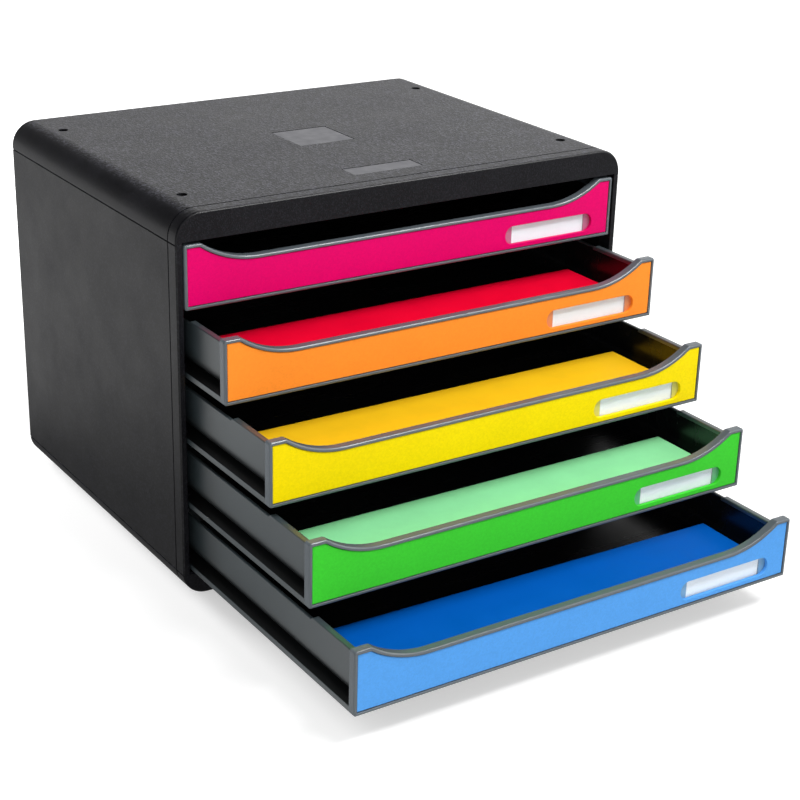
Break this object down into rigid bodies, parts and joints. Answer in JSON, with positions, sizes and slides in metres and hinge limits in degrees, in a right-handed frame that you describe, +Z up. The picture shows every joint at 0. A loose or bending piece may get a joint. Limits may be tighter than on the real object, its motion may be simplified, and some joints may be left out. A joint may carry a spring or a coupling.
{
  "type": "document drawer box",
  "caption": "Desktop document drawer box: black casing with rounded edges and grey pull-out trays whose coloured fronts have a dipped finger edge and a label slot.",
  "frame": {"origin": "on the table, under the middle of the casing, at the middle of the four foot pegs", "axes": "+X to the right seen from the front, -Y out of the front in the drawers' direction, +Z up"},
  "size_m": [0.355, 0.4779, 0.2711],
  "materials": {
    "casing": "black moulded polystyrene with a fine grain",
    "feet": "black moulded plastic",
    "tray": "slate grey moulded polystyrene, satin",
    "front_pink": "satin coloured sheet",
    "front_orange": "satin coloured sheet",
    "front_yellow": "satin coloured sheet",
    "front_green": "satin coloured sheet",
    "front_blue": "satin coloured sheet",
    "label_clear": "clear plastic",
    "label_card": "white card",
    "sheet_red": "stack of smooth coloured sheets",
    "sheet_amber": "stack of smooth coloured sheets",
    "sheet_mint": "stack of smooth coloured sheets",
    "sheet_blue": "stack of smooth coloured sheets"
  },
  "bodies": {
    "cabinet": {"top_cover": "casing", "base": "casing", "left_side_panel": "casing", "right_side_panel": "casing", "back_panel": "casing", "stacking_feet": "feet"},
    "drawer_1": {"drawer_1_tray": "tray", "drawer_1_front_panel": "front_pink", "drawer_1_label_window": "label_clear", "drawer_1_label_card": "label_card"},
    "drawer_2": {"drawer_2_tray": "tray", "drawer_2_front_panel": "front_orange", "drawer_2_label_window": "label_clear", "drawer_2_label_card": "label_card", "drawer_2_sheet": "sheet_red"},
    "drawer_3": {"drawer_3_tray": "tray", "drawer_3_front_panel": "front_yellow", "drawer_3_label_window": "label_clear", "drawer_3_label_card": "label_card", "drawer_3_sheet": "sheet_amber"},
    "drawer_4": {"drawer_4_tray": "tray", "drawer_4_front_panel": "front_green", "drawer_4_label_window": "label_clear", "drawer_4_label_card": "label_card", "drawer_4_sheet": "sheet_mint"},
    "drawer_5": {"drawer_5_tray": "tray", "drawer_5_front_panel": "front_blue", "drawer_5_label_window": "label_clear", "drawer_5_label_card": "label_card", "drawer_5_sheet": "sheet_blue"}
  },
  "joints": [
    {"name": "drawer_1_slide", "type": "slide", "parent": "cabinet", "child": "drawer_1", "axis": [0, -1, 0], "range_m": [0, 0.215]},
    {"name": "drawer_2_slide", "type": "slide", "parent": "cabinet", "child": "drawer_2", "axis": [0, -1, 0], "range_m": [-0.05203, 0.16297]},
    {"name": "drawer_3_slide", "type": "slide", "parent": "cabinet", "child": "drawer_3", "axis": [0, -1, 0], "range_m": [-0.10858, 0.10643]},
    {"name": "drawer_4_slide", "type": "slide", "parent": "cabinet", "child": "drawer_4", "axis": [0, -1, 0], "range_m": [-0.15609, 0.05891]},
    {"name": "drawer_5_slide", "type": "slide", "parent": "cabinet", "child": "drawer_5", "axis": [0, -1, 0], "range_m": [-0.20791, 0.00709]}
  ]
}
